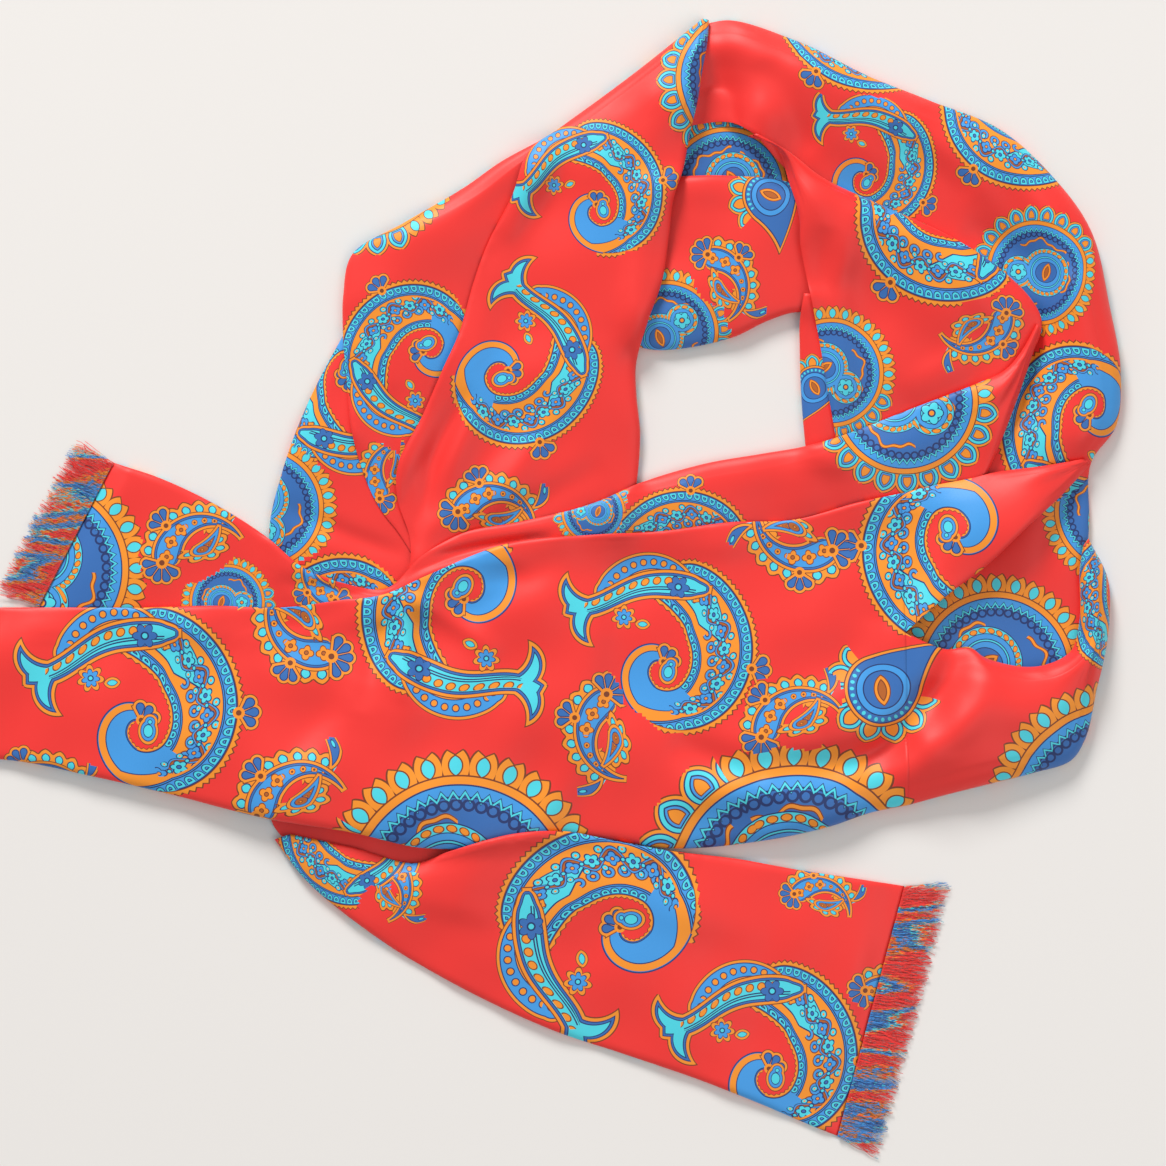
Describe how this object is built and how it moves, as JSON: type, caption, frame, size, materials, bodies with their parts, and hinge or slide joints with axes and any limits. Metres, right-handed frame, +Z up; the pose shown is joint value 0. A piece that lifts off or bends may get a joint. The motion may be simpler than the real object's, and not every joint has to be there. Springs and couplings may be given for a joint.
{
  "type": "silk scarf",
  "caption": "Long self-lined silk scarf with fringed ends, laid flat in one loose crossed loop.",
  "frame": {"origin": "on the surface that the scarf lies on, below the middle of the laid scarf's box", "axes": "+Z up from the surface, +Y towards the top of the loop, +X from the fringed left end towards the turn of the front run"},
  "size_m": [0.6903, 0.6232, 0.0295],
  "materials": {
    "printed_silk": "satin",
    "fringe_thread": "soft"
  },
  "bodies": {
    "root": {"band_inside": "printed_silk", "back_band": "printed_silk", "side_band": "printed_silk", "outer_limb": "printed_silk", "left_limb_low": "printed_silk", "left_limb_mid": "printed_silk", "left_limb_top": "printed_silk", "inner_fold": "printed_silk", "front_under": "printed_silk", "front_lap": "printed_silk", "turn_roll": "printed_silk", "front_flap": "printed_silk", "tail": "printed_silk", "tail_fringe": "fringe_thread", "left_end_fringe_upper": "fringe_thread", "left_end_fringe_lower": "fringe_thread"}
  },
  "joints": []
}
